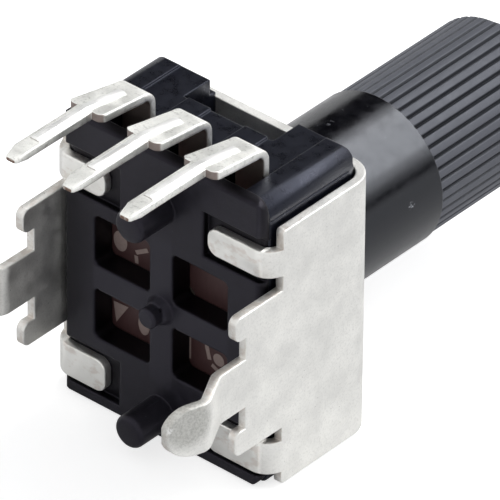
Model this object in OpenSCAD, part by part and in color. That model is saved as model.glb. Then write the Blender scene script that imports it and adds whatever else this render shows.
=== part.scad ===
// Rotary potentiometer with a serrated plastic shaft and a snap-in bracket. Sizes are in mm.
// The shaft lies along +Y. The terminals are at the top, +Z. The origin is where the shaft
// axis meets the front face of the bracket.

/* [Bracket] */
// Gap between the body and each side plate
side_gap = 0.12; // [0.05:0.01:0.3]
// Height of the front plate and the side plates
bracket_h = 10.32; // [9.8:0.02:10.6]
// Thickness of the folded sheet
sheet_t = 0.36; // [0.3:0.02:0.5]
// Inside radius of the two front folds
fold_r = 0.7; // [0.4:0.05:1]
// Depth of the side plates, from the front face to their rear edge
side_depth = 4.82; // [4.5:0.01:5.2]
// Width of an upper crimp tab
tab_w = 1.06; // [0.9:0.02:1.3]
// Width of a lower crimp tab
low_tab_w = 1.28; // [0.9:0.02:1.4]
// Distance from the axis to the near edge of a crimp tab
tab_z0 = 3.37; // [3.2:0.01:3.6]
// Distance from the centre plane to the tips of the right crimp tabs
tab_tip_right = 2.1; // [1.95:0.05:3]
// Distance from the centre plane to the tips of the left crimp tabs
tab_tip_left = 2.44; // [1.95:0.01:3]
// Corner radius of the crimp tabs
tab_r = 0.42; // [0.1:0.02:0.5]
// Inside radius of a crimp tab's fold
tab_fold_r = 0.42; // [0.3:0.02:0.6]
// Half height of the shoulder block that stands on the board
shoulder_z = 2.8; // [2.4:0.05:3.1]
// Distance from the front face to the board
board_y = 7.2; // [6.9:0.05:7.6]
// Depth of the relief cut on each side of a snap lug
relief_d = 0.55; // [0.3:0.05:0.8]
// Height of the nub at each end of the shoulder
nub_w = 0.95; // [0.6:0.05:1.1]
// Corner radius of the nubs
nub_r = 0.3; // [0.1:0.05:0.4]
// Width of one snap lug
lug_w = 1.94; // [1.4:0.02:2.4]
// Straight length of a snap lug behind the relief cut
lug_run = 1.21; // [0.9:0.01:1.8]
// Angle at which the lug leans outwards
lug_out = 27.5; // [10:0.5:35]
// Length of the part that leans outwards
lug_out_run = 1.18; // [0.6:0.01:1.6]
// Angle at the snap, where the lug turns inwards again
lug_in = 47.5; // [30:0.5:70]
// Length of the part that leans inwards, to the tip
lug_in_run = 1.35; // [0.9:0.01:1.8]
// Inside radius of the bends in a lug
lug_bend_r = 0.3; // [0.2:0.05:0.5]

/* [Housing] */
// Width of the black body
body_w = 8.84; // [8:0.02:9]
// Distance from the front face to the joint between the housing and the rear cover
seam_y = 5.0; // [4.9:0.05:5.3]
// Distance from the axis to the bottom of the body
body_bottom = 5.28; // [5.2:0.01:5.6]
// Height of the housing's top above the axis
housing_top = 6.1; // [5.8:0.05:6.6]
// Radius of the long top edges
top_edge_r = 0.62; // [0.3:0.02:0.9]
// Radius of the long bottom edges
bottom_edge_r = 0.3; // [0.1:0.05:0.5]
// Distance from the front face to the front of the raised top
top_front_y = 0.68; // [0.6:0.02:0.9]
// Radius of the raised top's front edge
front_edge_r = 0.15; // [0.05:0.01:0.3]
// Radius of the round chamber that the rotor turns in
chamber_r = 3.9; // [3.8:0.05:4]
// Thickness of the front wall that the shaft runs through
front_wall = 1.55; // [1.2:0.05:1.8]
// Outside radius of the bearing collar in the bracket's hole
collar_r = 3.5; // [3.2:0.05:4]
// Half width of the recess in the top, behind the front plate
recess_x = 1.97; // [1:0.01:2.5]
// Distance from the front face to the rear of that recess
recess_y = 2.0; // [1.5:0.05:2.4]
// Height of the recess floor above the axis
recess_z = 4.35; // [4.3:0.05:5]
// Half width of the notch that the terminals stand in
notch_x = 3.2; // [3.14:0.01:3.4]
// Half width of the shallow channels in front of the terminals
channel_x = 0.74; // [0.65:0.01:1]
// Depth of the shallow channels
channel_d = 0.08; // [0.04:0.01:0.2]
// Half angle of the stop lug at the bottom of the chamber
stop_lug_angle = 25; // [20:1:30]
// Depth of the stop lug behind the front wall
stop_lug_d = 0.5; // [0.3:0.05:0.55]
// Distance of the parting line on the sides below the top
parting_z = 0.73; // [0.65:0.01:1]
// Width and depth of the parting line
parting_w = 0.04; // [0.02:0.01:0.08]

/* [Rear cover] */
// Thickness of the cover's flange
flange_t = 0.4; // [0.3:0.05:0.6]
// Height of the flange's top above the axis
cover_top = 6.3; // [6.1:0.05:6.6]
// Width of the bevel round the flange
bevel_w = 0.2; // [0.1:0.02:0.3]
// Corner radius of the flange
cover_corner_r = 0.55; // [0.2:0.05:0.7]
// Distance from the axis to the near side of a window, along the width
window_x0 = 0.5; // [0.4:0.01:0.8]
// Distance from the axis to the far side of a window, along the width
window_x1 = 2.97; // [2.5:0.01:3.2]
// Distance from the axis to the near side of a window, along the height
window_z0 = 0.47; // [0.4:0.01:0.8]
// Distance from the axis to the far side of a window, along the height
window_z1 = 2.5; // [2:0.01:2.8]
// Corner radius of the windows
window_r = 0.22; // [0.05:0.01:0.3]
// Distance from the centre plane to the inner end of the pockets for the crimp tabs
pocket_x = 1.84; // [1.6:0.02:1.9]
// Height of those pockets
pocket_w = 1.8; // [1.65:0.05:1.9]
// Distance from the axis to the near side of those pockets
pocket_z0 = 3.05; // [2.9:0.05:3.2]
// Radius of the two support posts
post_r = 0.62; // [0.4:0.02:0.8]
// Distance from the axis to a support post
post_z = 4.2; // [3.8:0.05:4.5]
// Gap between the ends of the posts and the board
post_gap = 0.15; // [0:0.05:0.3]
// Radius of the small boss in the middle
boss_r = 0.38; // [0.3:0.02:0.45]
// Radius of the boss at its root
boss_root_r = 0.56; // [0.45:0.01:0.65]
// Height of that boss above the flange
boss_h = 0.75; // [0.4:0.05:1.2]

/* [Resistance element] */
// Thickness of the phenolic substrate
substrate_t = 0.6; // [0.4:0.05:0.65]
// Thickness of the side walls that the substrate lies between
side_wall = 0.47; // [0.44:0.01:0.47]
// Distance from the axis to the bottom edge of the substrate
substrate_bottom = 3.95; // [3.9:0.01:4]
// Distance from the axis to the top edge of the substrate
substrate_top = 5.15; // [5.1:0.01:5.2]
// Thickness of the printed films
film_t = 0.03; // [0.02:0.01:0.05]
// Middle radius of the resistive track
track_r = 2.9; // [2.8:0.02:2.95]
// Width of the resistive track
track_w = 0.75; // [0.5:0.05:0.8]
// Middle radius of the collector ring
collector_r = 1.5; // [1.4:0.02:1.6]
// Width of the collector ring
collector_w = 0.65; // [0.4:0.05:0.7]
// Half angle of the gap in the resistive track, at the terminals
track_gap = 44; // [42:1:46]
// Angle that each end electrode takes at the end of the track
electrode_angle = 10; // [6:1:14]

/* [Terminals] */
// Pitch of the three terminals
pitch = 2.5; // [2.5:0.01:2.54]
// Thickness of the terminal strip
terminal_t = 0.3; // [0.25:0.05:0.35]
// Width of the leg and the fold
leg_w = 1.26; // [1:0.02:1.4]
// Width of the arm where it steps down to the pin
step_w = 1.5; // [1.3:0.02:1.8]
// Width of the pin
pin_w = 0.64; // [0.5:0.02:0.8]
// Width of the pin's tip
tip_w = 0.5; // [0.3:0.02:0.6]
// Height of the pins' upper face above the axis
arm_top = 7.53; // [7.3:0.01:7.8]
// Distance from the front face to where the arm starts to fall towards its fold
slope_y = 6.3; // [6:0.05:6.6]
// Angle at which the arm falls towards the fold
arm_slope = 9.5; // [4:0.5:14]
// Inside radius of the fold from the leg to the arm
terminal_fold_r = 0.28; // [0.2:0.01:0.6]
// Distance from the front face to the step
step_y = 6.38; // [6:0.02:6.8]
// Distance from the front face to the tips
tip_y = 10.05; // [9.6:0.05:10.6]
// Length of the flattened tip
tip_l = 0.5; // [0.3:0.05:0.8]
// Corner radius at the step
step_r = 0.25; // [0.1:0.05:0.3]
// Height of the pressed rib along the pin
rib_h = 0.08; // [0.03:0.01:0.12]
// Width of that rib
rib_w = 0.44; // [0.2:0.02:0.5]
// Distance from the axis to the rivets
rivet_z = 4.58; // [4.55:0.01:4.6]
// Radius of a rivet's shank
rivet_r = 0.3; // [0.2:0.02:0.35]
// Radius of a rivet's heads
rivet_head_r = 0.48; // [0.4:0.02:0.5]
// Height of a rivet's heads
rivet_head_h = 0.13; // [0.08:0.01:0.16]

/* [Shaft and rotor] */
// Diameter of the smooth part of the shaft
shaft_d = 5.84; // [5.8:0.01:6]
// Distance from the front face to the start of the serrations
smooth_l = 5.8; // [4:0.1:8]
// Distance from the front face to the end of the shaft
shaft_l = 12.66; // [10:0.02:20]
// Diameter over the serrations
serration_d = 5.72; // [5.6:0.01:5.9]
// Number of serrations
teeth = 43; // [18:1:48]
// Depth of the grooves between the serrations
groove_d = 0.13; // [0.08:0.01:0.2]
// Share of the pitch that a crest takes
crest_share = 0.62; // [0.5:0.01:0.8]
// Radius of the end face
end_r = 2.32; // [2.2:0.02:2.6]
// Length of the chamfer at the end
end_chamfer = 0.72; // [0.3:0.02:0.9]
// Diameter of the journal that runs in the housing
journal_d = 5.2; // [4.6:0.1:5.4]
// Radial clearance of the journal in the housing
journal_fit = 0.04; // [0.02:0.01:0.08]
// End float of the shaft and the rotor
end_float = 0.06; // [0.04:0.01:0.1]
// Radius of the shaft's stub in the rotor
stub_r = 1.8; // [1.4:0.1:2]
// Length of that stub
stub_l = 0.75; // [0.5:0.05:0.8]
// Distance from the axis to the flat on the stub
stub_flat = 1.35; // [1:0.05:1.6]
// Radius of the rotor's hub
hub_r = 3.1; // [3:0.05:3.15]
// Radius of the rotor's disc
disc_r = 3.55; // [3.4:0.05:3.6]
// Thickness of the rotor's disc
disc_t = 0.4; // [0.3:0.05:0.45]
// Radius of the rotor's stop tab
stop_tab_r = 3.68; // [3.6:0.02:3.7]
// Half angle of the stop tab
stop_tab_angle = 14.5; // [12:0.5:15]
// Radius of the pivot in the substrate
pivot_r = 0.8; // [0.6:0.05:0.85]
// Radial clearance of the pivot in the substrate
pivot_fit = 0.05; // [0.03:0.01:0.08]
// Radius of the two staked pegs that hold the wiper
peg_r = 0.28; // [0.2:0.02:0.32]
// Distance of the pegs from the axis
peg_at = 1.6; // [1.5:0.05:1.8]

/* [Wiper] */
// Thickness of the wiper's spring sheet
wiper_t = 0.1; // [0.08:0.01:0.12]
// Width of one contact finger
finger_w = 0.24; // [0.16:0.02:0.26]
// Gap between two fingers of a pair
finger_gap = 0.1; // [0.06:0.02:0.12]
// Distance from the centre plane to the root of the fingers
finger_root_x = 1.35; // [1.2:0.05:1.5]
// Gap left between the contacts and the printed films
contact_gap = 0.02; // [0.01:0.01:0.04]

/* [Hidden] */
$fn = 72;
bracket_w = body_w + 2 * (side_gap + sheet_t);
half_w = bracket_w / 2;
half_h = bracket_h / 2;
bend_x = half_w - fold_r - sheet_t;
bend_y = fold_r + sheet_t;
tab_bend_x = half_w - sheet_t - tab_fold_r;
tab_bend_y = seam_y + 0.1 - tab_fold_r;
pocket_floor = tab_bend_y + tab_fold_r;
relief_y = board_y - relief_d;
rear_y = seam_y + flange_t;
element_y = seam_y - 0.55;
film_y = element_y - substrate_t;
leg_y = film_y - film_t;
chamber_y = sheet_t + front_wall;
hub_y = chamber_y + end_float;
disc_y = hub_y + stop_lug_d + 0.05;
wiper_y = disc_y + disc_t;
body_x = body_w / 2;
substrate_w = body_w - 2 * side_wall;
seat_x = substrate_w / 2 + 0.02;
terminal_x = [-pitch, 0, pitch];
tip_t = terminal_t * 0.55;
flat_x = half_w - sheet_t / 2;

// Placing helpers: a flat outline is drawn in the plane across the named axis
module along_x(x0, x1) {
    translate([x0, 0, 0]) rotate([90, 0, 90]) linear_extrude(height = x1 - x0) children();
}
module along_y(y0, y1) {
    translate([0, y1, 0]) rotate([90, 0, 0]) linear_extrude(height = y1 - y0) children();
}
module along_z(z0, z1) {
    translate([0, 0, z0]) linear_extrude(height = z1 - z0) children();
}
module both_x() {
    children();
    mirror([1, 0, 0]) children();
}
module both_z() {
    children();
    mirror([0, 0, 1]) children();
}

// A turned piece on the shaft axis, from y0 to y1
module turned(y0, y1, r0, r1) {
    translate([0, y0, 0]) rotate([-90, 0, 0]) cylinder(h = y1 - y0, r1 = r0, r2 = r1);
}

// Flat outlines
module box2(x0, x1, y0, y1) {
    translate([x0, y0]) square([x1 - x0, y1 - y0]);
}
module round_box(x0, x1, y0, y1, r_low, r_high) {
    box2(x0 + r_low, x1 - r_low, y0, y0 + r_low);
    box2(x0, x1, y0 + r_low, y1 - r_high);
    box2(x0 + r_high, x1 - r_high, y1 - r_high, y1);
    for (s = [x0 + r_low, x1 - r_low]) translate([s, y0 + r_low]) circle(r = r_low);
    for (s = [x0 + r_high, x1 - r_high]) translate([s, y1 - r_high]) circle(r = r_high);
}
module quarter(cx, cy, r_in, r_out, sx, sy) {
    translate([cx, cy]) intersection() {
        difference() {
            circle(r = r_out);
            circle(r = r_in);
        }
        translate([sx > 0 ? 0 : -r_out - 1, sy > 0 ? 0 : -r_out - 1]) square(r_out + 1);
    }
}
module wedge(r, a0, a1) {
    mid = (a0 + a1) / 2;
    polygon([[0, 0], [r * cos(a0), r * sin(a0)],
             [1.3 * r * cos((a0 + mid) / 2), 1.3 * r * sin((a0 + mid) / 2)],
             [1.3 * r * cos(mid), 1.3 * r * sin(mid)],
             [1.3 * r * cos((a1 + mid) / 2), 1.3 * r * sin((a1 + mid) / 2)],
             [r * cos(a1), r * sin(a1)]]);
}
module ring_sector(r_in, r_out, a0, a1) {
    intersection() {
        difference() {
            circle(r = r_out);
            circle(r = r_in);
        }
        wedge(r_out * 1.5, a0, a1);
    }
}

// A bent strip seen along its width: each step is a straight run and the turn after it
module strip(steps, i = 0) {
    run = steps[i][0];
    turn = steps[i][1];
    mid_r = lug_bend_r + sheet_t / 2;
    side = turn > 0 ? 1 : -1;
    a = abs(turn);
    box2(-sheet_t / 2, sheet_t / 2, -run, 0);
    if (a > 0) translate([0, -run]) {
        mirror([side > 0 ? 0 : 1, 0]) translate([mid_r, 0]) intersection() {
            difference() {
                circle(r = lug_bend_r + sheet_t);
                circle(r = lug_bend_r);
            }
            wedge(lug_bend_r + sheet_t + 1, 179.5, 180.5 + a);
        }
        translate([side * mid_r * (1 - cos(a)), -mid_r * sin(a)]) rotate(turn) strip(steps, i + 1);
    }
}

// Folded bracket: front plate, side plates, crimp tabs, board shoulders and snap lugs
module side_outline() {
    box2(-side_depth, -bend_y, -half_h + 0.12, half_h - 0.12);
    box2(-side_depth + 0.12, -bend_y, -half_h, half_h);
    for (s = [-1, 1]) translate([-side_depth + 0.12, s * (half_h - 0.12)]) circle(r = 0.12);
    box2(-relief_y, -side_depth, -shoulder_z, shoulder_z);
    for (s = [0, 1]) mirror([0, s]) {
        box2(-board_y + nub_r, -relief_y, shoulder_z - nub_w, shoulder_z);
        box2(-board_y, -board_y + nub_r, shoulder_z - nub_w + nub_r, shoulder_z - nub_r);
        translate([-board_y + nub_r, shoulder_z - nub_r]) circle(r = nub_r);
        translate([-board_y + nub_r, shoulder_z - nub_w + nub_r]) circle(r = nub_r);
    }
}
module lug() {
    mid_r = lug_bend_r + sheet_t / 2;
    tip = relief_y + lug_run + 2 * mid_r * sin(lug_out) + lug_out_run * cos(lug_out)
        + mid_r * sin(lug_in - lug_out) + lug_in_run * cos(lug_in - lug_out);
    intersection() {
        along_z(-lug_w / 2, lug_w / 2) translate([flat_x, -relief_y])
            strip([[lug_run, lug_out], [lug_out_run, -lug_in], [lug_in_run, 0]]);
        along_x(flat_x - 2, flat_x + 2) {
            box2(-tip + lug_w / 2, -relief_y + 1, -lug_w / 2, lug_w / 2);
            translate([-tip + lug_w / 2, 0]) circle(r = lug_w / 2);
        }
    }
}
module tab(tip_x, w) {
    z0 = tab_z0;
    z1 = tab_z0 + w;
    intersection() {
        along_z(z0, z1) {
            quarter(tab_bend_x, -tab_bend_y, tab_fold_r, tab_fold_r + sheet_t, 1, -1);
            box2(tip_x, tab_bend_x, -pocket_floor - sheet_t, -pocket_floor);
        }
        along_y(-rear_y - 1, -bend_y) {
            box2(tip_x + tab_r, half_w, z0, z1);
            box2(tip_x, tip_x + tab_r, z0 + tab_r, z1 - tab_r);
            for (z = [z0 + tab_r, z1 - tab_r]) translate([tip_x + tab_r, z]) circle(r = tab_r);
        }
    }
}
module side_plate(tip_x) {
    along_z(-half_h, half_h) quarter(bend_x, -bend_y, fold_r, fold_r + sheet_t, 1, 1);
    difference() {
        along_x(half_w - sheet_t, half_w) side_outline();
        translate([0, -tab_bend_y - 2, tab_z0]) cube([half_w + 1, 2, tab_w]);
        translate([0, -tab_bend_y - 2, -tab_z0 - low_tab_w]) cube([half_w + 1, 2, low_tab_w]);
    }
    tab(tip_x, tab_w);
    mirror([0, 0, 1]) tab(tip_x, low_tab_w);
    lug();
}
module bracket() {
    color([0.8, 0.8, 0.78]) {
        difference() {
            along_z(-half_h, half_h) box2(-bend_x, bend_x, -sheet_t, 0);
            turned(-sheet_t - 1, 1, collar_r, collar_r);
        }
        side_plate(tab_tip_right);
        mirror([1, 0, 0]) side_plate(tab_tip_left);
    }
}

// The corner that the fold of a crimp tab needs, cut from the housing and the cover
module tab_clearance() {
    both_x() both_z() along_z(tab_z0 - 0.06, tab_z0 + low_tab_w + 0.06) difference() {
        box2(tab_bend_x, half_w, -pocket_floor - 1, -tab_bend_y);
        translate([tab_bend_x, -tab_bend_y]) circle(r = tab_fold_r - 0.02);
    }
}

// Housing: bearing, rotor chamber, seat for the substrate and the terminal notch
module housing_outside() {
    intersection() {
        along_y(-seam_y, -sheet_t)
            round_box(-body_x, body_x, -body_bottom, housing_top, bottom_edge_r, top_edge_r);
        along_z(-body_bottom - 1, housing_top + 1) {
            box2(-body_x, body_x, -seam_y - 1, -sheet_t - top_edge_r);
            box2(-body_x + top_edge_r, body_x - top_edge_r, -sheet_t - top_edge_r, -sheet_t);
            for (s = [-1, 1]) translate([s * (body_x - top_edge_r), -sheet_t - top_edge_r])
                circle(r = top_edge_r);
        }
        along_x(-half_w, half_w) {
            box2(-seam_y - 1, -sheet_t, -body_bottom - 1, housing_top - parting_z);
            box2(-seam_y - 1, -top_front_y, 0, housing_top - front_edge_r);
            box2(-seam_y - 1, -top_front_y - front_edge_r, 0, housing_top);
            translate([-top_front_y - front_edge_r, housing_top - front_edge_r]) circle(r = front_edge_r);
        }
    }
}
module housing() {
    color([0.08, 0.08, 0.09]) {
        difference() {
            union() {
                housing_outside();
                turned(-sheet_t - 0.2, 0, collar_r, collar_r);
            }
            turned(-chamber_y - 1, 1, journal_d / 2 + journal_fit, journal_d / 2 + journal_fit);
            turned(-film_y - 1, -chamber_y, chamber_r, chamber_r);
            translate([-seat_x, -seam_y - 1, -substrate_bottom - 0.02])
                cube([2 * seat_x, seam_y + 1 - film_y, substrate_bottom + substrate_top + 0.04]);
            translate([-notch_x - 0.05, -film_y - 0.5, track_r * 0.6])
                cube([2 * notch_x + 0.1, 0.65, chamber_r]);
            translate([-notch_x - 0.05, -film_y - 0.5, chamber_r])
                cube([2 * notch_x + 0.1, 1.15, substrate_top - chamber_r + 0.02]);
            translate([-notch_x, -seam_y - 1, chamber_r])
                cube([2 * notch_x, seam_y + 1 - leg_y + terminal_t + 0.02, housing_top]);
            translate([-recess_x, -recess_y, recess_z]) cube([2 * recess_x, recess_y + 1, housing_top]);
            for (x = terminal_x) translate([x - channel_x, -seam_y, housing_top - channel_d])
                cube([2 * channel_x, seam_y + 1, 1]);
            both_x() translate([body_x - parting_w, -seam_y - 1, housing_top - parting_z])
                cube([1, seam_y, parting_w]);
            tab_clearance();
        }
        along_y(-chamber_y - stop_lug_d, -chamber_y)
            ring_sector(hub_r + 0.2, chamber_r + 0.1, 270 - stop_lug_angle, 270 + stop_lug_angle);
    }
}

// Rear cover: bevelled flange, four windows, tab pockets, posts and the step that holds the substrate
module rear_cover() {
    color([0.08, 0.08, 0.09]) {
        difference() {
            union() {
                intersection() {
                    along_y(-rear_y, -seam_y)
                        round_box(-body_x, body_x, -body_bottom, cover_top, cover_corner_r, cover_corner_r);
                    along_z(-body_bottom - 1, cover_top + 1)
                        polygon([[-body_x, -seam_y], [-body_x, -seam_y - 0.06],
                                 [-body_x + bevel_w * 0.3, -seam_y - flange_t * 0.6],
                                 [-body_x + bevel_w, -rear_y], [body_x - bevel_w, -rear_y],
                                 [body_x - bevel_w * 0.3, -seam_y - flange_t * 0.6],
                                 [body_x, -seam_y - 0.06], [body_x, -seam_y]]);
                    along_x(-half_w, half_w)
                        polygon([[-seam_y, -body_bottom], [-rear_y + 0.06, -body_bottom],
                                 [-rear_y, -body_bottom + 0.06], [-rear_y, cover_top - bevel_w],
                                 [-seam_y - flange_t * 0.6, cover_top - bevel_w * 0.3],
                                 [-seam_y - 0.06, cover_top], [-seam_y, cover_top]]);
                }
                translate([-seat_x + 0.05, -seam_y - 0.05, -substrate_bottom + 0.03])
                    cube([2 * seat_x - 0.1, seam_y + 0.05 - element_y, substrate_bottom + substrate_top - 0.06]);
            }
            both_x() both_z() along_y(-rear_y - 1, -element_y + 1)
                round_box(window_x0, window_x1, window_z0, window_z1, window_r, window_r);
            both_x() both_z() translate([pocket_x, -rear_y - 1, pocket_z0])
                cube([half_w, rear_y + 1 - pocket_floor, pocket_w]);
            for (x = terminal_x) translate([x, 0, rivet_z])
                turned(-element_y - rivet_head_h - 0.05, -element_y + 1, rivet_head_r + 0.08, rivet_head_r + 0.08);
            tab_clearance();
        }
        both_z() translate([0, 0, post_z]) {
            turned(-board_y + post_gap + 0.12, -rear_y, post_r, post_r);
            turned(-board_y + post_gap, -board_y + post_gap + 0.12, post_r - 0.1, post_r);
        }
        turned(-rear_y - boss_h, -rear_y - boss_h + 0.08, boss_r - 0.08, boss_r);
        turned(-rear_y - boss_h + 0.08, -rear_y - 0.3, boss_r, boss_r);
        turned(-rear_y - 0.3, -rear_y, boss_r + 0.05, boss_root_r);
    }
}

// Resistance element: substrate with the printed films on its front
module substrate() {
    color([0.36, 0.22, 0.16]) difference() {
        along_y(-element_y, -film_y)
            box2(-substrate_w / 2, substrate_w / 2, -substrate_bottom, substrate_top);
        turned(-element_y - 1, -film_y + 1, pivot_r + pivot_fit, pivot_r + pivot_fit);
        for (x = terminal_x) translate([x, 0, rivet_z])
            turned(-element_y - 1, -film_y + 1, rivet_r, rivet_r);
    }
}
module resistive_track() {
    color([0.1, 0.1, 0.1]) along_y(-film_y, -leg_y)
        intersection() {
            difference() {
                circle(r = track_r + track_w / 2);
                circle(r = track_r - track_w / 2);
            }
            difference() {
                box2(-5, 5, -5, 5);
                wedge(12, 90 - track_gap, 90 + track_gap);
            }
        }
}
module electrode(x) {
    s = x < 0 ? -1 : 1;
    a0 = 90 - track_gap;
    a1 = 90 - track_gap + electrode_angle;
    r1 = track_r + track_w / 2;
    color([0.75, 0.75, 0.74]) along_y(-film_y, -leg_y) mirror([s < 0 ? 1 : 0, 0]) difference() {
        union() {
            ring_sector(track_r - track_w / 2, r1, a0, a1);
            polygon([[(r1 - 0.2) * cos(a1 - 0.5), (r1 - 0.2) * sin(a1 - 0.5)],
                     [(r1 - 0.2) * cos(a0 + 0.5), (r1 - 0.2) * sin(a0 + 0.5)],
                     [pitch + leg_w / 2, rivet_z], [pitch + leg_w / 2, substrate_top - 0.1],
                     [pitch - leg_w / 2, substrate_top - 0.1], [pitch - leg_w / 2, rivet_z - 0.4]]);
        }
        translate([pitch, rivet_z]) circle(r = rivet_r);
    }
}
module collector_track() {
    color([0.75, 0.75, 0.74]) along_y(-film_y, -leg_y) difference() {
        union() {
            circle(r = collector_r + collector_w / 2);
            box2(-0.45, 0.45, collector_r, rivet_z);
            box2(-leg_w / 2, leg_w / 2, rivet_z - 0.5, substrate_top - 0.1);
        }
        circle(r = collector_r - collector_w / 2);
        translate([0, rivet_z]) circle(r = rivet_r);
    }
}

// Terminal: riveted leg, wide fold and a ribbed pin with a flattened tip
module terminal(x) {
    // The arm is tucked 0.004 into the fold, so that its faces cross the fold's at a real angle
    tuck = 0.004;
    bend_cy = leg_y + terminal_fold_r;
    fold_r = terminal_fold_r + terminal_t;
    out = [sin(arm_slope), cos(arm_slope)];
    ahead = [cos(arm_slope), -sin(arm_slope)];
    bend_cz = arm_top - (fold_r - tuck + (slope_y - bend_cy) * sin(arm_slope)) / cos(arm_slope);
    centre = [-bend_cy, bend_cz];
    top_end = centre + (fold_r - tuck) * out + 0.03 * ahead;
    low_end = centre + (terminal_fold_r - tuck) * out + 0.07 * ahead;
    under_y = -bend_cy + (terminal_fold_r - tuck - (arm_top - terminal_t - bend_cz) * cos(arm_slope))
              / sin(arm_slope);
    fold_y = -bend_cy - 0.1;
    rib_end = bend_cy + 0.4;
    color([0.82, 0.82, 0.8]) translate([x, 0, 0]) {
        difference() {
            along_y(-leg_y, -leg_y + terminal_t) {
                box2(-leg_w / 2, leg_w / 2, rivet_z, bend_cz);
                translate([0, rivet_z]) circle(r = leg_w / 2);
            }
            translate([0, 0, rivet_z]) turned(-leg_y - 1, -leg_y + 1, rivet_r, rivet_r);
        }
        along_x(-leg_w / 2, leg_w / 2) translate([-bend_cy, bend_cz])
            ring_sector(terminal_fold_r, fold_r, 0, 98.5 - arm_slope);
        intersection() {
            along_z(bend_cz, arm_top + 1) {
                polygon([[-leg_w / 2, -leg_y], [-leg_w / 2, fold_y], [-step_w / 2, -step_y + step_r],
                         [-step_w / 2 + step_r, -step_y], [step_w / 2 - step_r, -step_y],
                         [step_w / 2, -step_y + step_r], [leg_w / 2, fold_y], [leg_w / 2, -leg_y]]);
                for (s = [-1, 1]) translate([s * (step_w / 2 - step_r), -step_y + step_r])
                    circle(r = step_r);
                box2(-pin_w / 2, pin_w / 2, -tip_y + tip_l, fold_y);
                polygon([[-pin_w / 2, -tip_y + tip_l], [-tip_w / 2, -tip_y + 0.08],
                         [-tip_w / 2 + 0.08, -tip_y], [tip_w / 2 - 0.08, -tip_y],
                         [tip_w / 2, -tip_y + 0.08], [pin_w / 2, -tip_y + tip_l]]);
            }
            along_x(-step_w, step_w)
                polygon([low_end, [under_y, arm_top - terminal_t],
                         [-tip_y + tip_l, arm_top - terminal_t],
                         [-tip_y, arm_top - terminal_t + 0.03], [-tip_y, arm_top - terminal_t + tip_t],
                         [-tip_y + tip_l, arm_top], [-slope_y, arm_top], top_end]);
        }
        translate([0, -slope_y, arm_top]) {
            along_y(slope_y - tip_y + tip_l + 0.7, 0) rib_outline();
            rotate([-arm_slope, 0, 0]) along_y(-0.03, (slope_y - rib_end) / cos(arm_slope)) rib_outline();
        }
    }
}
module rib_outline() {
    polygon([[-rib_w / 2, -0.05], [-rib_w / 2, 0], [-rib_w / 4, rib_h],
             [rib_w / 4, rib_h], [rib_w / 2, 0], [rib_w / 2, -0.05]]);
}
module rivet(x) {
    color([0.7, 0.68, 0.6]) translate([x, 0, rivet_z]) {
        turned(-element_y, -leg_y + terminal_t, rivet_r, rivet_r);
        turned(-element_y - rivet_head_h, -element_y, rivet_head_r - 0.1, rivet_head_r);
        turned(-leg_y + terminal_t, -leg_y + terminal_t + rivet_head_h, rivet_head_r, rivet_head_r - 0.1);
    }
}

// Shaft: stub, journal, smooth part and serrated end
module shaft() {
    serration_r = serration_d / 2;
    // The chamfer's cone starts a little outside the crests, so that it cuts them clean
    chamfer_y = shaft_l - end_chamfer - 0.1;
    chamfer_r = serration_r + 0.1 * (serration_r - end_r) / end_chamfer;
    color([0.06, 0.06, 0.07]) {
        intersection() {
            turned(-hub_y - stub_l, -hub_y, stub_r, stub_r);
            stub_flat_cut();
        }
        turned(-hub_y, end_float, journal_d / 2, journal_d / 2);
        turned(end_float, smooth_l, shaft_d / 2, shaft_d / 2);
        intersection() {
            along_y(smooth_l - 0.1, shaft_l + 0.1) polygon([for (i = [0 : teeth - 1], k = [-1 : 1])
                let (a = 85.3 + (i + (k == 0 ? 0.5 : k < 0 ? crest_share / 2 : 1 - crest_share / 2)) * 360 / teeth,
                     r = k == 0 ? serration_r - groove_d : serration_r)
                    [r * cos(a), r * sin(a)]]);
            rotate([-90, 0, 0]) rotate_extrude()
                polygon([[0, smooth_l - 0.2], [chamfer_r, smooth_l - 0.2], [chamfer_r, chamfer_y],
                         [end_r, shaft_l], [0, shaft_l]]);
        }
    }
}

// The block that leaves the flat on the stub
module stub_flat_cut() {
    translate([-2 * stub_r, -hub_y - stub_l - 1, -2 * stub_r])
        cube([4 * stub_r, stub_l + 3, 2 * stub_r + stub_flat]);
}

// Rotor: hub with the stop tab, disc, pivot and the staked pegs
module rotor() {
    color([0.75, 0.72, 0.66]) {
        difference() {
            union() {
                turned(-disc_y, -hub_y, hub_r, hub_r);
                turned(-wiper_y, -disc_y, disc_r, disc_r);
                along_y(-disc_y, -hub_y)
                    ring_sector(hub_r - 0.3, stop_tab_r, 90 - stop_tab_angle, 90 + stop_tab_angle);
            }
            intersection() {
                turned(-hub_y - stub_l, -hub_y + 1, stub_r, stub_r);
                stub_flat_cut();
            }
        }
        turned(-element_y + 0.15, -wiper_y, pivot_r, pivot_r);
        for (a = [30, 150]) translate([peg_at * cos(a), 0, peg_at * sin(a)]) {
            turned(-wiper_y - wiper_t, -wiper_y, peg_r, peg_r);
            turned(-wiper_y - wiper_t - 0.12, -wiper_y - wiper_t, peg_r, peg_r + 0.12);
        }
    }
}

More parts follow.
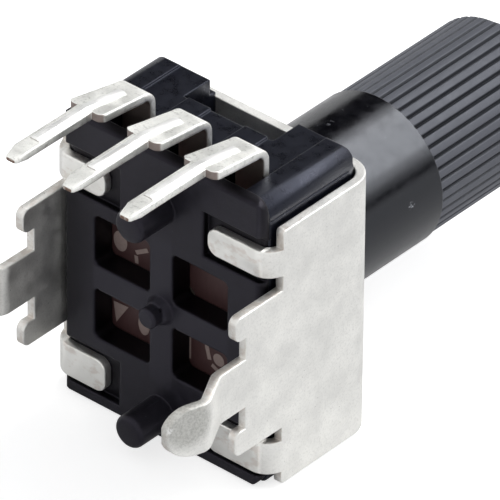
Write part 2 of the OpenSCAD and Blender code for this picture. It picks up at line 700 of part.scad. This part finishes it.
// Wiper: one spring sheet with a pair of fingers on each printed film
module finger_pair(z) {
    contact_y = leg_y - contact_gap;
    for (s = [-1, 1]) along_z(z + s * (finger_w + finger_gap) / 2 - finger_w / 2,
                              z + s * (finger_w + finger_gap) / 2 + finger_w / 2)
        polygon([[finger_root_x + 0.1, -wiper_y - wiper_t], [finger_root_x, -wiper_y - wiper_t],
                 [0.12, -contact_y], [-0.05, -contact_y], [-0.4, -contact_y + 0.25],
                 [-0.33, -contact_y + 0.33], [-0.01, -contact_y + 0.12], [0.06, -contact_y + 0.12],
                 [finger_root_x, -wiper_y], [finger_root_x + 0.1, -wiper_y]]);
}
module wiper() {
    color([0.78, 0.62, 0.36]) {
        along_y(-wiper_y - wiper_t, -wiper_y) difference() {
            intersection() {
                circle(r = disc_r - 0.15);
                union() {
                    ring_sector(0, collector_r + 0.75, 0, 180);
                    box2(finger_root_x, 2.25, -track_r - 0.4, 0.3);
                }
            }
            circle(r = pivot_r + 0.02);
            for (a = [30, 150]) translate([peg_at * cos(a), peg_at * sin(a)]) circle(r = peg_r);
        }
        finger_pair(-track_r);
        finger_pair(-collector_r);
    }
}

bracket();
housing();
rear_cover();
substrate();
resistive_track();
collector_track();
electrode(-1);  // electrode_left
electrode(1);  // electrode_right
terminal(terminal_x[0]);  // terminal_left
terminal(terminal_x[1]);  // terminal_centre
terminal(terminal_x[2]);  // terminal_right
rivet(terminal_x[0]);  // rivet_left
rivet(terminal_x[1]);  // rivet_centre
rivet(terminal_x[2]);  // rivet_right
shaft();
rotor();
wiper();
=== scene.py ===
"""Looks of the rotary potentiometer: materials, rounded edges, print, wear, light and camera."""

import math

import bmesh
import bpy
from mathutils import Matrix, Vector, bvhtree
from mathutils.geometry import intersect_point_line

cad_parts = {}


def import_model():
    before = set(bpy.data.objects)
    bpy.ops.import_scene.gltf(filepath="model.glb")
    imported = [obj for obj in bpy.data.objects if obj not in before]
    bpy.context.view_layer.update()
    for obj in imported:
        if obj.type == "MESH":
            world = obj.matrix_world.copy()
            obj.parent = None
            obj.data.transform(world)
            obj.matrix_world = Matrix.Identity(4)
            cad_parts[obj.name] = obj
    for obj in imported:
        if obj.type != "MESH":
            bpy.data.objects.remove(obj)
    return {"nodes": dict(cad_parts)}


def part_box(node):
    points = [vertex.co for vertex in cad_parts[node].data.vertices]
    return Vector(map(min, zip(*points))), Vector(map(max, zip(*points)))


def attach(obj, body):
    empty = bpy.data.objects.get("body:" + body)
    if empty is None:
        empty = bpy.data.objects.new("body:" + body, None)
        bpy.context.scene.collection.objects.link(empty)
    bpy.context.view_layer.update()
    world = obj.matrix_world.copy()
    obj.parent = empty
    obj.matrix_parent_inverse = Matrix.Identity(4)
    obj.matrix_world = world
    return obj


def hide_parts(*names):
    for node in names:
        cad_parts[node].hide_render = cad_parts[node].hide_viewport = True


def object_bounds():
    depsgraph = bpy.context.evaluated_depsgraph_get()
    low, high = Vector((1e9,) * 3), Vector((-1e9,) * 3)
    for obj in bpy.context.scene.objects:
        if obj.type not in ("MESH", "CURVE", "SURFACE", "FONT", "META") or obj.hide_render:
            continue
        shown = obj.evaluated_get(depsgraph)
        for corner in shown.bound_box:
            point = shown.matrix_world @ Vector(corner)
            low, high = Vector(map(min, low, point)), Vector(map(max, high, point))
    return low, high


MM = 0.001
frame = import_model()
nodes = frame["nodes"]
scene = bpy.context.scene
cad_lo, cad_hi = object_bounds()

# Places on the solids, in millimetres. The shaft lies along +Y and the cover is at the rear, -Y.
SIDE_IN = 4.54                      # inner faces of the bracket's side plates, from the centre
TAB_Y = -4.8                        # the crimp tabs lie behind this
BULB = (5.20, -10.02, 0.41)         # round end of the right snap lug
BULB_MARK = (5.25, -10.97, 0.39)
COVER_FACE = -5.40
ARM_TOP = 7.53                      # top of a terminal's arm behind -SLOPE_Y
SLOPE_Y, ARM_SLOPE = 6.3, math.radians(9.5)
TIP_Y = 10.05                       # a terminal ends this far behind the bracket's front face
TEETH = 43
TOOTH_AT = math.radians(85.3)       # middle of one tooth, about the shaft's axis
TOOTHED = 5.74, 5.80                # the serrations start between these
VALLEY, GROUND = (2.66, 2.74), (2.60, 2.80)     # radii over which grooves and crowns set in
GROOVE = 0.29, 0.37                 # a groove's start, in pitches from the middle of its tooth
CROWN = 0.05                        # fall of a tooth's top, per squared share of a pitch
SCUFF_A, SCUFF_B = (2.87, 4.20, 0.56), (-0.22, 3.50, 2.91)


# ---------------------------------------------------------------- camera, fitted to the photograph
PICTURE, SENSOR = 500, 36           # picture's side in pixels, sensor's side in millimetres
AZIMUTH, ELEVATION, ROLL = (math.radians(v) for v in (40.73733, 35.16723, 0.50514))
FOCAL, SCALE = 10104.6, 29.65245    # pixels, and pixels per millimetre at the fitted origin
CENTRE_X, CENTRE_Y = 266.3765, 237.653      # where the picture shows the fitted origin
ORIGIN_Z = 0.12                     # height of the fitted origin over the shaft's axis


def make_camera():
    back = Vector((math.sin(AZIMUTH) * math.cos(ELEVATION),
                   -math.cos(AZIMUTH) * math.cos(ELEVATION), math.sin(ELEVATION)))
    level = Vector((math.cos(AZIMUTH), math.sin(AZIMUTH), 0))
    upright = back.cross(level)
    right = level * math.cos(ROLL) + upright * math.sin(ROLL)
    up = upright * math.cos(ROLL) - level * math.sin(ROLL)
    distance = FOCAL / SCALE
    eye = (back * distance - right * (CENTRE_X - PICTURE / 2) / SCALE
           + up * (CENTRE_Y - PICTURE / 2) / SCALE + Vector((0, 0, ORIGIN_Z)))
    camera = bpy.data.cameras.new("camera")
    camera.sensor_width = SENSOR
    camera.lens = FOCAL / PICTURE * SENSOR
    camera.clip_start, camera.clip_end = 0.01, 10
    holder = bpy.data.objects.new("camera", camera)
    turn = Matrix((right, up, back)).transposed().to_4x4()
    holder.matrix_world = Matrix.Translation(eye * MM) @ turn
    scene.collection.objects.link(holder)
    scene.camera = holder


make_camera()


# ---------------------------------------------------------------- node helpers
class Tree:
    """A small writer for material nodes. Values may be numbers, colours or sockets."""

    def __init__(self, name):
        self.material = bpy.data.materials.new(name)
        self.material.use_nodes = True
        self.nodes = self.material.node_tree.nodes
        self.links = self.material.node_tree.links
        self.nodes.clear()
        out = self.nodes.new("ShaderNodeOutputMaterial")
        self.shader = self.nodes.new("ShaderNodeBsdfPrincipled")
        self.links.new(self.shader.outputs[0], out.inputs[0])
        self._place = None

    def put(self, socket, value):
        if isinstance(value, bpy.types.NodeSocket):
            self.links.new(value, socket)
        elif socket.type == "RGBA" and len(value) == 3:
            socket.default_value = (*value, 1)
        else:
            socket.default_value = value

    def set(self, **values):
        for name, value in values.items():
            self.put(self.shader.inputs[name.replace("_", " ")], value)

    @property
    def place(self):
        """The point in millimetres of the object's own frame."""
        if self._place is None:
            coords = self.nodes.new("ShaderNodeTexCoord")
            self._place = self.vector("SCALE", coords.outputs["Object"])
        return self._place

    def vector(self, operation, a, b=None):
        node = self.nodes.new("ShaderNodeVectorMath")
        node.operation = operation
        self.put(node.inputs[0], a)
        if b is not None:
            self.put(node.inputs[1], b)
        if operation == "SCALE":
            node.inputs["Scale"].default_value = 1 / MM
        return node.outputs["Value" if operation in ("LENGTH", "DISTANCE") else "Vector"]

    def math(self, operation, a, b=0.0):
        node = self.nodes.new("ShaderNodeMath")
        node.operation = operation
        self.put(node.inputs[0], a)
        self.put(node.inputs[1], b)
        return node.outputs[0]

    def times(self, a, b):
        return self.math("MULTIPLY", a, b)

    def size(self, value):
        return self.math("ABSOLUTE", value)

    def xyz(self, vector=None):
        node = self.nodes.new("ShaderNodeSeparateXYZ")
        self.put(node.inputs[0], vector or self.place)
        return node.outputs

    def facing(self):
        """The three parts of the face's own normal."""
        return self.xyz(self.nodes.new("ShaderNodeNewGeometry").outputs["True Normal"])

    def stretched(self, stretch):
        return self.place if stretch is None else self.vector("MULTIPLY", self.place, stretch)

    def noise(self, scale, detail=3.0, rough=0.5, stretch=None, distortion=0.0):
        node = self.nodes.new("ShaderNodeTexNoise")
        self.put(node.inputs["Vector"], self.stretched(stretch))
        for name, value in (("Scale", scale), ("Detail", detail), ("Roughness", rough),
                            ("Distortion", distortion)):
            node.inputs[name].default_value = value
        return node.outputs["Fac"]

    def cells(self, scale, stretch=None):
        node = self.nodes.new("ShaderNodeTexVoronoi")
        self.put(node.inputs["Vector"], self.stretched(stretch))
        node.inputs["Scale"].default_value = scale
        return node.outputs["Distance"]

    def ramp(self, value, low, high, to_low=0.0, to_high=1.0):
        node = self.nodes.new("ShaderNodeMapRange")
        node.interpolation_type = "SMOOTHSTEP"
        for socket, number in zip(node.inputs[:5], (value, low, high, to_low, to_high)):
            self.put(socket, number)
        return node.outputs[0]

    def within(self, value, full, none):
        """One where the value's size is under full, falling to nothing at none."""
        return self.ramp(self.size(value), full, none, 1.0, 0.0)

    def near(self, point, radius):
        """One at a point given in millimetres, falling to nothing at radius."""
        return self.ramp(self.vector("DISTANCE", self.place, point), radius * 0.5, radius, 1.0, 0.0)

    def mix(self, factor, a, b):
        node = self.nodes.new("ShaderNodeMix")
        node.data_type = "RGBA"
        self.put(node.inputs["Factor"], factor)
        self.put(node.inputs[6], a)
        self.put(node.inputs[7], b)
        return node.outputs[2]

    def bump(self, height, distance, edge=None):
        """Bump over the surface, in millimetres, with softened edges when edge is given."""
        node = self.nodes.new("ShaderNodeBump")
        self.put(node.inputs["Height"], height)
        node.inputs["Distance"].default_value = distance * MM
        node.inputs["Strength"].default_value = 1.0
        if edge:
            bevel = self.nodes.new("ShaderNodeBevel")
            bevel.samples = 6
            bevel.inputs["Radius"].default_value = edge * MM
            self.links.new(bevel.outputs[0], node.inputs["Normal"])
        self.put(self.shader.inputs["Normal"], node.outputs[0])


def shaded(colour, factor):
    return tuple(min(1, c * factor) for c in colour)


# ---------------------------------------------------------------- materials
def black_plastic(name, colour, roughness, specular, tint_to, scratched=1.0):
    """Mottled black resin with dust and lengthwise scratches. The caller adds the bump."""
    t = Tree(name)
    mottle = t.noise(2.2, 4, 0.6)
    t.fine = t.noise(38, 2, 0.6)
    dust = t.times(t.ramp(t.cells(3.1), 0.05, 0.03), t.ramp(t.noise(0.9, 1), 0.55, 0.65))
    tint = t.mix(t.ramp(mottle, 0.3, 0.7), shaded(colour, 0.8), shaded(colour, 1.3))
    tint = t.mix(dust, tint, (0.12, 0.12, 0.14))
    scratch = t.ramp(t.noise(1.3, 2, 0.5, stretch=(16.0, 0.45, 16.0), distortion=0.2), 0.70, 0.715)
    t.colour = t.mix(t.times(scratch, 0.35 * scratched), tint, (0.07, 0.075, 0.10))
    uneven = t.math("ADD", mottle, t.times(t.fine, 0.5))
    t.rough = t.ramp(uneven, 0.4, 1.1, roughness - 0.07, roughness + 0.09)
    t.set(Base_Color=t.colour, Roughness=t.rough, Specular_IOR_Level=specular, Specular_Tint=tint_to)
    return t


def housing():
    t = black_plastic("housing_black", (0.0030, 0.0034, 0.0066), 0.30, specular=0.42,
                      tint_to=(0.72, 0.77, 1.0), scratched=0.5)
    t.bump(t.times(t.fine, 0.004), 1.0, edge=0.07)
    return t


def cover():
    """Rear moulding: its cross bars are coloured lighter than the rim, its left part is darkened with
    painted shade, and the walls of its windows are painted with shade.
    """
    t = black_plastic("cover_black", (0.0130, 0.0122, 0.0165), 0.38, specular=0.30,
                      tint_to=(0.85, 0.80, 1.0))
    x, y, z = t.xyz()
    cross = t.math("MAXIMUM", t.within(x, 0.42, 0.56), t.within(z, 0.40, 0.52))
    cross = t.times(t.times(cross, t.within(x, 2.9, 3.1)), t.within(z, 2.6, 3.4))
    # Painted shade: the cover's left part darkens to near black, from x -2.6 outwards to -4.3.
    lit = t.ramp(x, -4.3, -2.6)
    grey = t.mix(lit, (0.0003, 0.0003, 0.0006), t.colour)
    grey = t.mix(t.times(cross, 0.8), grey, (0.0260, 0.0245, 0.0330))
    # Painted shade: the walls inside the windows, behind the cover's face, are near black.
    window_shade = t.ramp(y, COVER_FACE + 0.04, COVER_FACE + 0.14)
    t.set(Base_Color=t.mix(window_shade, grey, (0.0004, 0.0004, 0.0006)))
    t.bump(t.times(t.fine, 0.006), 1.0, edge=0.11)
    return t


def shaft():
    """Polished journal end, and duller serrations with a rounded crown on each tooth, whose lighter
    grey is partly painted light, with painted shade in their grooves.
    """
    t = black_plastic("shaft_black", (0.0025, 0.0025, 0.0040), 0.19, specular=0.5,
                      tint_to=(0.87, 0.91, 1.0), scratched=0.0)
    x, y, z = t.xyz()
    toothed = t.ramp(y, *TOOTHED)
    turn = t.math("SUBTRACT", t.math("ARCTAN2", z, x), TOOTH_AT)
    pitches = t.times(turn, TEETH / (2 * math.pi))
    off = t.math("SUBTRACT", pitches, t.math("ROUND", pitches))
    radius = t.vector("LENGTH", t.vector("MULTIPLY", t.place, (1, 0, 1)))
    groove = t.times(t.ramp(t.size(off), *GROOVE), t.ramp(radius, *VALLEY))
    # Painted shade: the grooves darken to near black. The serrations' lighter grey is partly their
    # matte tone and partly painted light.
    serration_grey_and_groove_shade = t.mix(groove, (0.098, 0.102, 0.120), (0.014, 0.015, 0.019))
    tint = t.mix(toothed, t.colour, serration_grey_and_groove_shade)
    scuff = t.math("MAXIMUM", t.near(SCUFF_A, 0.19), t.times(t.near(SCUFF_B, 0.20), 0.35))
    scuff = t.times(scuff, t.ramp(t.noise(5, 2, 0.5, stretch=(0.6, 1.0, 2.4)), 0.50, 0.60))
    t.set(Base_Color=t.mix(scuff, tint, (0.30, 0.31, 0.34)))
    t.set(Roughness=t.math("ADD", t.rough, t.times(toothed, 0.33)))
    crown = t.times(t.times(off, off), t.ramp(radius, *GROUND, 0.0, -CROWN))
    height = t.times(t.fine, t.math("ADD", 0.0008, t.times(toothed, 0.003)))
    t.bump(t.math("ADD", height, t.times(crown, toothed)), 1.0, edge=0.03)
    return t


def tin(name, colour, roughness, specks=1.0):
    """Tin plate with clouds, grain, specks and hair scratches. The caller adds the bump."""
    t = Tree(name)
    cloud = t.noise(0.9, 5, 0.62)
    t.grain = t.noise(11, 5, 0.72)
    t.relief = t.math("ADD", t.grain, t.times(t.noise(26, 3, 0.6), 0.5))
    tint = t.mix(t.ramp(cloud, 0.25, 0.75), shaded(colour, 0.93), shaded(colour, 1.09))
    tint = t.mix(t.ramp(t.grain, 0.46, 0.72, 0, 0.5), tint, shaded(colour, 0.76))
    speck = t.ramp(t.cells(2.9, stretch=(1, 1, 1.4)), 0.085, 0.03)
    speck = t.times(speck, t.ramp(t.noise(1.3, 1), 0.45, 0.6))
    tint = t.mix(t.times(speck, 0.65 * specks), tint, (0.20, 0.18, 0.16))
    line = t.noise(0.9, 2, 0.5, stretch=(1.0, 1.6, 1.6), distortion=2.6)
    hair = t.times(t.ramp(line, 0.498, 0.503), t.ramp(line, 0.503, 0.508, 1.0, 0.0))
    hair = t.times(hair, t.ramp(t.noise(0.8, 1), 0.60, 0.66))
    t.colour = t.mix(t.times(hair, 0.35 * specks), tint, (0.35, 0.34, 0.32))
    uneven = t.math("ADD", cloud, t.times(t.grain, 0.6))
    t.rough = t.ramp(uneven, 0.5, 1.1, roughness - 0.08, roughness + 0.1)
    t.set(Base_Color=t.colour, Metallic=1.0, Roughness=t.rough)
    return t


def bracket():
    """Painted shade on the right lug's round end, browner where sheared, and on the crimp tabs a
    lighter tin, which is painted light, with stains.
    """
    t = tin("bracket_tin", (0.84, 0.835, 0.81), 0.50)
    x, y, _ = t.xyz()
    side = t.ramp(t.size(x), SIDE_IN - 0.03, SIDE_IN + 0.01)
    sheared = t.times(side, t.within(t.facing()[0], 0.25, 0.45))
    sheared = t.times(sheared, t.ramp(y, -2.0, -5.0))
    sheared = t.times(sheared, t.ramp(t.noise(2.4, 3, 0.6), 0.40, 0.62, 0.15, 1.0))
    tint = t.mix(t.times(sheared, 0.5), t.colour, (0.58, 0.50, 0.44))
    # Painted shade: the right lug's round end is darkened to a grained grey.
    wear_and_shade = t.mix(t.ramp(t.grain, 0.40, 0.62), (0.50, 0.50, 0.475), (0.35, 0.35, 0.33))
    tint = t.mix(t.times(t.near(BULB, 1.25), 0.75), tint, wear_and_shade)
    mark = t.ramp(t.noise(4, 1, 0.5, distortion=1.5), 0.56, 0.60)
    tint = t.mix(t.times(t.near(BULB_MARK, 0.45), mark), tint, (0.95, 0.95, 0.95))
    tab = t.times(t.ramp(y, TAB_Y + 0.1, TAB_Y), t.ramp(t.size(x), 4.5, 4.35))
    # Painted light: the crimp tabs get a lighter tin than the rest of the bracket.
    tint = t.mix(t.times(tab, 0.8), tint, (0.99, 0.985, 0.95))
    stain = t.ramp(t.noise(1.5, 4, 0.6, stretch=(1, 1, 1.6)), 0.50, 0.64)
    tint = t.mix(t.times(tab, t.times(stain, 0.5)), tint, (0.70, 0.62, 0.56))
    t.set(Base_Color=tint, Roughness=t.math("SUBTRACT", t.rough, t.times(tab, 0.08)))
    swell = t.times(t.times(tab, t.noise(1.1, 1)), 0.12)
    t.bump(t.math("ADD", t.times(t.relief, 0.007), swell), 1.0, edge=0.07)
    return t


def terminal():
    """Pressed rib with a painted highlight, duller grained flats beside it, painted brown shade on
    faces turned down and to the rear, bare brown ends where it was cut.
    """
    t = tin("terminal_tin", (0.92, 0.92, 0.885), 0.46, specks=0.5)
    _, y, z = t.xyz()
    _, ny, nz = t.facing()
    fall = t.times(t.math("MAXIMUM", t.math("ADD", y, SLOPE_Y), 0.0), math.tan(ARM_SLOPE))
    rib = t.ramp(t.math("SUBTRACT", z, t.math("SUBTRACT", ARM_TOP, fall)), 0.015, 0.05)
    flecks = t.times(t.ramp(t.noise(7.5, 4, 0.62), 0.50, 0.68), t.ramp(t.noise(2.1, 2), 0.38, 0.60))
    tint = t.mix(t.times(flecks, 0.52), t.colour, (0.42, 0.415, 0.39))
    # Painted shade with a brownish painted reflection on faces turned down and to the rear, away from
    # the tip.
    under_and_rear_shade = t.math("MAXIMUM", t.ramp(ny, -0.2, -0.6), t.ramp(nz, -0.1, -0.5))
    under_and_rear_shade = t.times(under_and_rear_shade, t.ramp(y, -9.4, -8.6))
    tint = t.mix(t.times(under_and_rear_shade, 0.9), tint, (0.20, 0.15, 0.135))
    # Painted highlight: the rib's top is coloured near white.
    tint = t.mix(rib, tint, (1.0, 1.0, 0.985))
    end = t.times(t.ramp(y, -TIP_Y + 0.03, -TIP_Y + 0.01),
                  t.ramp(t.noise(5, 3, 0.7), 0.35, 0.5, 0.55, 1.0))
    tint = t.mix(end, tint, (0.20, 0.13, 0.10))
    t.set(Base_Color=tint, Roughness=t.math("SUBTRACT", t.rough, t.times(rib, 0.05)))
    t.bump(t.relief, 0.007, edge=0.11)
    return t


def laminate():
    t = Tree("phenolic")
    fibre = t.noise(7, 4, 0.6, stretch=(1, 1, 0.35))
    t.set(Base_Color=t.mix(fibre, (0.056, 0.024, 0.025), (0.098, 0.046, 0.044)), Roughness=0.45)
    t.bump(fibre, 0.004)
    return t


def film(name, colour, metallic, roughness):
    t = Tree(name)
    cloud = t.noise(3, 4, 0.6)
    t.set(Base_Color=t.mix(cloud, shaded(colour, 0.8), shaded(colour, 1.15)), Metallic=metallic,
          Roughness=t.ramp(cloud, 0.2, 0.8, roughness - 0.1, roughness + 0.1))
    t.bump(t.noise(40, 2), 0.002)
    return t


silver = film("silver_ink", (0.70, 0.69, 0.66), 0.9, 0.5)
looks = {
    "housing": housing(),
    "rear_cover": cover(),
    "shaft": shaft(),
    "bracket": bracket(),
    "substrate": laminate(),
    "resistive_track": film("carbon", (0.022, 0.021, 0.020), 0.0, 0.55),
    "collector_track": silver,
    "electrode_left": silver,
    "electrode_right": silver,
    "rotor": film("rotor_resin", (0.55, 0.51, 0.43), 0.0, 0.45),
    "wiper": film("spring_brass", (0.72, 0.53, 0.27), 1.0, 0.3),
}
terminal_look = terminal()
rivet_look = film("rivet_brass", (0.72, 0.62, 0.40), 1.0, 0.35)
for side in ("left", "centre", "right"):
    looks["terminal_" + side] = terminal_look
    looks["rivet_" + side] = rivet_look
for name, tree in looks.items():
    nodes[name].material_slots[0].material = tree.material


# ---------------------------------------------------------------- pieces with rounded edges
WELD = 0.0002 * MM                  # points nearer than this become one
COPLANAR = math.radians(0.4)        # faces flatter than this to each other become one
ROUND_OVER = math.radians(38)       # sharper outer edges than this are rounded
SMOOTH_UNDER = math.radians(36)     # flatter edges than this are shaded smooth
CLEAR = 0.12 * MM                   # edges stay sharp this near to a crossing
SMALL = 0.3 * MM * MM               # faces of the roundings have less area than this
ATTEMPTS = 6


def crossings(made):
    """Centres of the small triangles that cut through others."""
    test = made.copy()
    bmesh.ops.triangulate(test, faces=test.faces)
    test.faces.ensure_lookup_table()
    tree = bvhtree.BVHTree.FromBMesh(test)
    found = []
    for a, b in tree.overlap(tree):
        if a < b and not set(test.faces[a].verts) & set(test.faces[b].verts):
            found += [test.faces[i].calc_center_median() for i in (a, b)
                      if test.faces[i].calc_area() < SMALL]
    test.free()
    return found


def reach(point, edge):
    """How far a point is from an edge."""
    a, b = (v.co for v in edge.verts)
    along = intersect_point_line(point, a, b)[1]
    return (point - a.lerp(b, min(1, max(0, along)))).length


def rounded(source, width):
    """The solid with its sharp outer edges rounded, except where that makes faces cross."""
    skip = []
    for _ in range(ATTEMPTS):
        made = bmesh.new()
        made.from_mesh(source)
        bmesh.ops.remove_doubles(made, verts=made.verts, dist=WELD)
        bmesh.ops.dissolve_limit(made, angle_limit=COPLANAR, verts=made.verts, edges=made.edges,
                                 delimit={"NORMAL"})
        sharp = [e for e in made.edges
                 if len(e.link_faces) == 2 and e.is_convex and e.calc_face_angle(0) > ROUND_OVER
                 and all(reach(point, e) > CLEAR for point in skip)]
        bmesh.ops.bevel(made, geom=sharp, offset=width * MM, offset_type="OFFSET", segments=2,
                        profile=0.5, affect="EDGES", clamp_overlap=False, loop_slide=True)
        hits = crossings(made)
        if not hits:
            return made
        skip += hits
        made.free()
    return None


def soften(name, body, width):
    """Puts a copy with rounded edges in a node's place. If none is clean, the solid stays."""
    made = rounded(nodes[name].data, width)
    if made is None:
        return
    for face in made.faces:
        face.smooth = True
    for edge in made.edges:
        edge.smooth = len(edge.link_faces) == 2 and edge.calc_face_angle(0) < SMOOTH_UNDER
    mesh = bpy.data.meshes.new(name + "_rounded")
    made.to_mesh(mesh)
    made.free()
    piece = bpy.data.objects.new(name + "_rounded", mesh)
    scene.collection.objects.link(piece)
    mesh.materials.append(looks[name].material)
    piece.modifiers.new("flat", "WEIGHTED_NORMAL").keep_sharp = True
    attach(piece, body)
    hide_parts(name)


for name, body, slot, width in (("bracket", "case", "bracket", 0.05),
                                ("housing", "case", "housing", 0.05),
                                ("rear_cover", "case", "cover", 0.06),
                                ("terminal_left", "case", "terminal", 0.045),
                                ("terminal_centre", "case", "terminal", 0.045),
                                ("terminal_right", "case", "terminal", 0.045),
                                ("shaft", "spindle", "shaft", 0.03)):
    soften(name, body, width)


# ---------------------------------------------------------------- print on the element
PROUD, SUNK = 0.012 * MM, 0.002 * MM        # a printed field's face and back, from the element's


def print_marks():
    """Plain discs, bars and a triangle where the element is printed, in millimetres as x and z."""
    t = Tree("print_tan")
    wear_and_shade = t.noise(9, 4, 0.7)
    t.set(Base_Color=t.mix(wear_and_shade, (0.30, 0.22, 0.20), (0.46, 0.36, 0.33)), Roughness=0.6)
    t.bump(wear_and_shade, 0.003)
    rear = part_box("substrate")[0].y
    mesh = bpy.data.meshes.new("print_marks")
    made = bmesh.new()

    def plate(outline):
        face, back = ([made.verts.new((x * MM, y, z * MM)) for x, z in outline]
                      for y in (rear - PROUD, rear + SUNK))
        made.faces.new(face)
        made.faces.new(back)
        for i in range(len(outline)):
            made.faces.new((face[i - 1], back[i - 1], back[i], face[i]))

    def disc(x, z, rx, rz, count=28):
        turns = [2 * math.pi * i / count for i in range(count)]
        plate([(x + rx * math.cos(a), z + rz * math.sin(a)) for a in turns])

    def bar(x, z, w, h, turn=0.0):
        c, s = math.cos(turn), math.sin(turn)
        corners = ((-w / 2, -h / 2), (w / 2, -h / 2), (w / 2, h / 2), (-w / 2, h / 2))
        plate([(x + dx * c - dz * s, z + dx * s + dz * c) for dx, dz in corners])

    # Upper left window, lower left window, lower right window.
    disc(-2.62, 1.10, 0.30, 0.40)
    bar(-1.66, 1.12, 0.62, 0.16, 0.55)
    bar(-1.90, 0.68, 0.16, 0.30, 0.1)
    plate([(-2.93, -1.50), (-2.26, -1.46), (-2.80, -2.30)])
    disc(-1.56, -1.85, 0.25, 0.42)
    bar(0.46, -1.82, 0.16, 0.85)
    bar(1.30, -1.60, 0.17, 0.60, 0.25)
    disc(1.78, -1.72, 0.24, 0.24)
    bar(1.70, -2.16, 0.50, 0.16, -0.45)
    bmesh.ops.recalc_face_normals(made, faces=made.faces)
    made.to_mesh(mesh)
    made.free()
    piece = bpy.data.objects.new("print_marks", mesh)
    scene.collection.objects.link(piece)
    mesh.materials.append(t.material)
    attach(piece, "case")


print_marks()


# ---------------------------------------------------------------- stage and light
WORLD_LIGHT, WORLD_SEEN = 0.45, 1.0         # strength as a lamp, and as the camera sees it
FLOOR_SEEN, FLOOR_MIRRORED = 0.7, 0.12      # the floor's own light, to the camera and in mirrors
FLOOR_GAP = 0.02 * MM
SOFTBOX_WAY, SOFTBOX_ALONG = (0.284, 0.619, 0.732), (-0.932, 0, 0.362)
LAMP_AIM = Vector((0, 0.006, 0))
CARD_GREY = 0.01


def world():
    """White to the camera, in mirrors and through glass, and dimmer as a light on the part."""
    studio = bpy.data.worlds.new("studio")
    studio.use_nodes = True
    tree = studio.node_tree
    tree.nodes.clear()
    add, link = tree.nodes.new, tree.links.new
    rays = add("ShaderNodeLightPath").outputs
    seen = rays["Is Camera Ray"]
    for kind in ("Is Glossy Ray", "Is Transmission Ray"):
        either = add("ShaderNodeMath")
        either.operation = "MAXIMUM"
        link(seen, either.inputs[0])
        link(rays[kind], either.inputs[1])
        seen = either.outputs[0]
    choose = add("ShaderNodeMixShader")
    link(seen, choose.inputs[0])
    for i, colour, strength in ((1, (0.97, 0.98, 1, 1), WORLD_LIGHT), (2, (1, 1, 1, 1), WORLD_SEEN)):
        shade = add("ShaderNodeBackground")
        shade.inputs[0].default_value = colour
        shade.inputs[1].default_value = strength
        link(shade.outputs[0], choose.inputs[i])
    link(choose.outputs[0], add("ShaderNodeOutputWorld").inputs[0])
    scene.world = studio


def plane(name, centre, normal, width, height, along=(0, 0, 1)):
    """A flat rectangle in metres that faces along normal."""
    n = Vector(normal).normalized()
    side = Vector(along).cross(n).normalized()
    top = n.cross(side)
    corners = [side * sx * width / 2 + top * sy * height / 2
               for sx, sy in ((-1, -1), (1, -1), (1, 1), (-1, 1))]
    mesh = bpy.data.meshes.new(name)
    mesh.from_pydata(corners, [], [(0, 1, 2, 3)])
    thing = bpy.data.objects.new(name, mesh)
    thing.location = centre
    scene.collection.objects.link(thing)
    return thing


def floor():
    t = Tree("floor_white")
    rays = t.nodes.new("ShaderNodeLightPath").outputs
    mirrored = t.math("MAXIMUM", rays["Is Glossy Ray"], rays["Is Transmission Ray"])
    glow = t.math("ADD", t.times(mirrored, FLOOR_MIRRORED), t.times(rays["Is Camera Ray"], FLOOR_SEEN))
    t.set(Base_Color=(0.80, 0.80, 0.80), Roughness=0.9, Specular_IOR_Level=0.0,
          Emission_Color=(1, 1, 1), Emission_Strength=glow)
    ground = plane("floor", (0, 0, cad_lo.z - FLOOR_GAP), (0, 0, 1), 3, 3, along=(0, 1, 0))
    ground.data.materials.append(t.material)


def lamp(name, distance, width, height, strength):
    """An area lamp of the given radiance, in the softbox's direction from the part."""
    way = Vector(SOFTBOX_WAY).normalized()
    side = Vector(SOFTBOX_ALONG).normalized()
    data = bpy.data.lights.new(name, "AREA")
    data.shape = "RECTANGLE"
    data.size, data.size_y = width, height
    data.energy = strength * width * height * math.pi
    holder = bpy.data.objects.new(name, data)
    holder.location = LAMP_AIM + way * distance
    holder.rotation_mode = "QUATERNION"
    holder.rotation_quaternion = Matrix((side, way.cross(side), way)).transposed().to_quaternion()
    scene.collection.objects.link(holder)


def card(name, direction, distance, width, height):
    """A dark card outside the picture that glossy surfaces mirror."""
    way = Vector(direction).normalized()
    t = Tree(name)
    t.set(Base_Color=(CARD_GREY, CARD_GREY, CARD_GREY), Roughness=1.0, Specular_IOR_Level=0.0)
    thing = plane(name, way * distance, -way, width, height)
    thing.data.materials.append(t.material)
    thing.visible_camera = thing.visible_diffuse = thing.visible_shadow = False


world()
floor()
lamp("softbox", 0.50, 0.70, 0.17, 3.2)
lamp("softbox_core", 0.49, 0.44, 0.17, 2.8)
card("flag_left", (-0.60, 0.62, 0.52), 0.45, 0.30, 0.26)
card("flag_low", (0.78, 0.62, 0.14), 0.45, 0.40, 0.05)

scene.view_settings.view_transform = "Standard"
